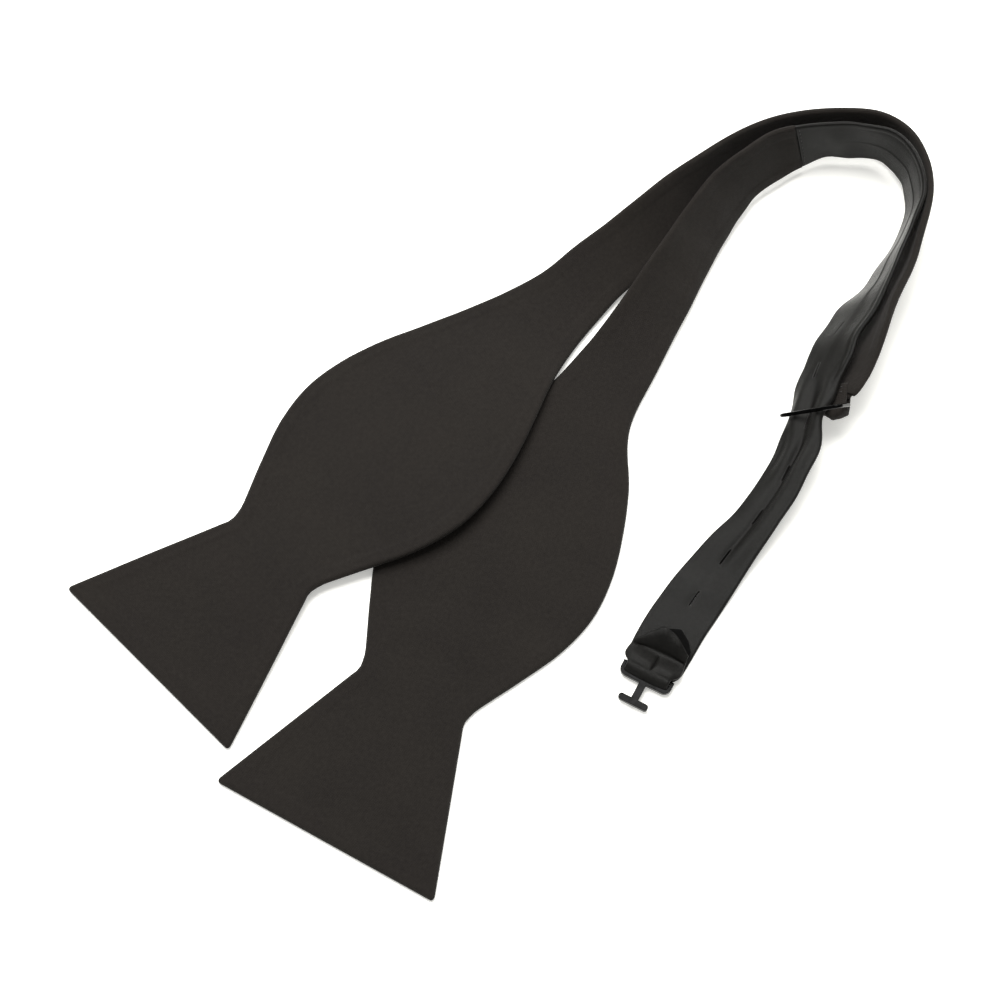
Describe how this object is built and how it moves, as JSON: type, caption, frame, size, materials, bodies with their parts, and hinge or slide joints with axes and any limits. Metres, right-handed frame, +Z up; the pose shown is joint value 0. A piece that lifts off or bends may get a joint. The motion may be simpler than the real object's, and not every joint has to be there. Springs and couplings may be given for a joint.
{
  "type": "bow tie",
  "caption": "Untied self-tie bow tie laid flat: two blades on narrow bands, one ending in an eye ring, the other sewn to a buttonholed satin strap with a flat T-hook.",
  "frame": {"origin": "middle of the plan of the laid-out tie, on the surface it lies on", "axes": "+Z up from the table, the shortest extent; +Y away from the blade tips towards the neck bend, +X towards the side with the ring and hook"},
  "size_m": [0.2628, 0.2512, 0.0231],
  "materials": {
    "blade_cloth": "matte woven",
    "strap_satin": "satin sheen",
    "interlining": "matte",
    "thread": "soft sheen",
    "black_metal": "glossy black enamel"
  },
  "bodies": {
    "half_a": {"a_front": "blade_cloth", "a_back": "blade_cloth", "a_interlining": "interlining", "a_eye_loop": "blade_cloth", "a_loop_bartack": "thread"},
    "tip_a": {"a_tip_front": "blade_cloth", "a_tip_back": "blade_cloth", "a_tip_interlining": "interlining"},
    "eye_ring": {"eye_ring": "black_metal"},
    "half_b": {"b_front": "blade_cloth", "b_back": "blade_cloth", "b_interlining": "interlining", "b_strap_seam": "thread", "strap_face": "strap_satin", "strap_back": "strap_satin", "strap_interlining": "interlining", "buttonhole_stitches": "thread", "strap_end_fold": "strap_satin", "end_fold_stitches": "thread"},
    "tip_b": {"b_tip_front": "blade_cloth", "b_tip_back": "blade_cloth", "b_tip_interlining": "interlining"},
    "hook": {"t_hook": "black_metal"}
  },
  "joints": [
    {"name": "waist_fold_a", "type": "hinge", "parent": "half_a", "child": "tip_a", "pos_m": [-0.07256, -0.02315, 0.00367], "axis": [-0.7046, 0.706, -0.0705], "range_deg": [0, 120]},
    {"name": "eye_swivel", "type": "hinge", "parent": "half_a", "child": "eye_ring", "pos_m": [0.0922, 0.0229, 0.0076], "axis": [0.8305, -0.1167, 0.5446], "range_deg": [-30, 3]},
    {"name": "neck_slide", "type": "slide", "parent": "half_a", "child": "half_b", "axis": [-0.42, -0.9075, 0], "range_m": [0, 0.008]},
    {"name": "waist_fold_b", "type": "hinge", "parent": "half_b", "child": "tip_b", "pos_m": [-0.03008, -0.06623, 0.0022], "axis": [-0.8739, 0.4862, 0], "range_deg": [0, 120]},
    {"name": "hook_swivel", "type": "hinge", "parent": "half_b", "child": "hook", "pos_m": [0.03799, -0.05957, 0.0019], "axis": [-0.8812, 0.4727, 0], "range_deg": [0, 100]}
  ]
}
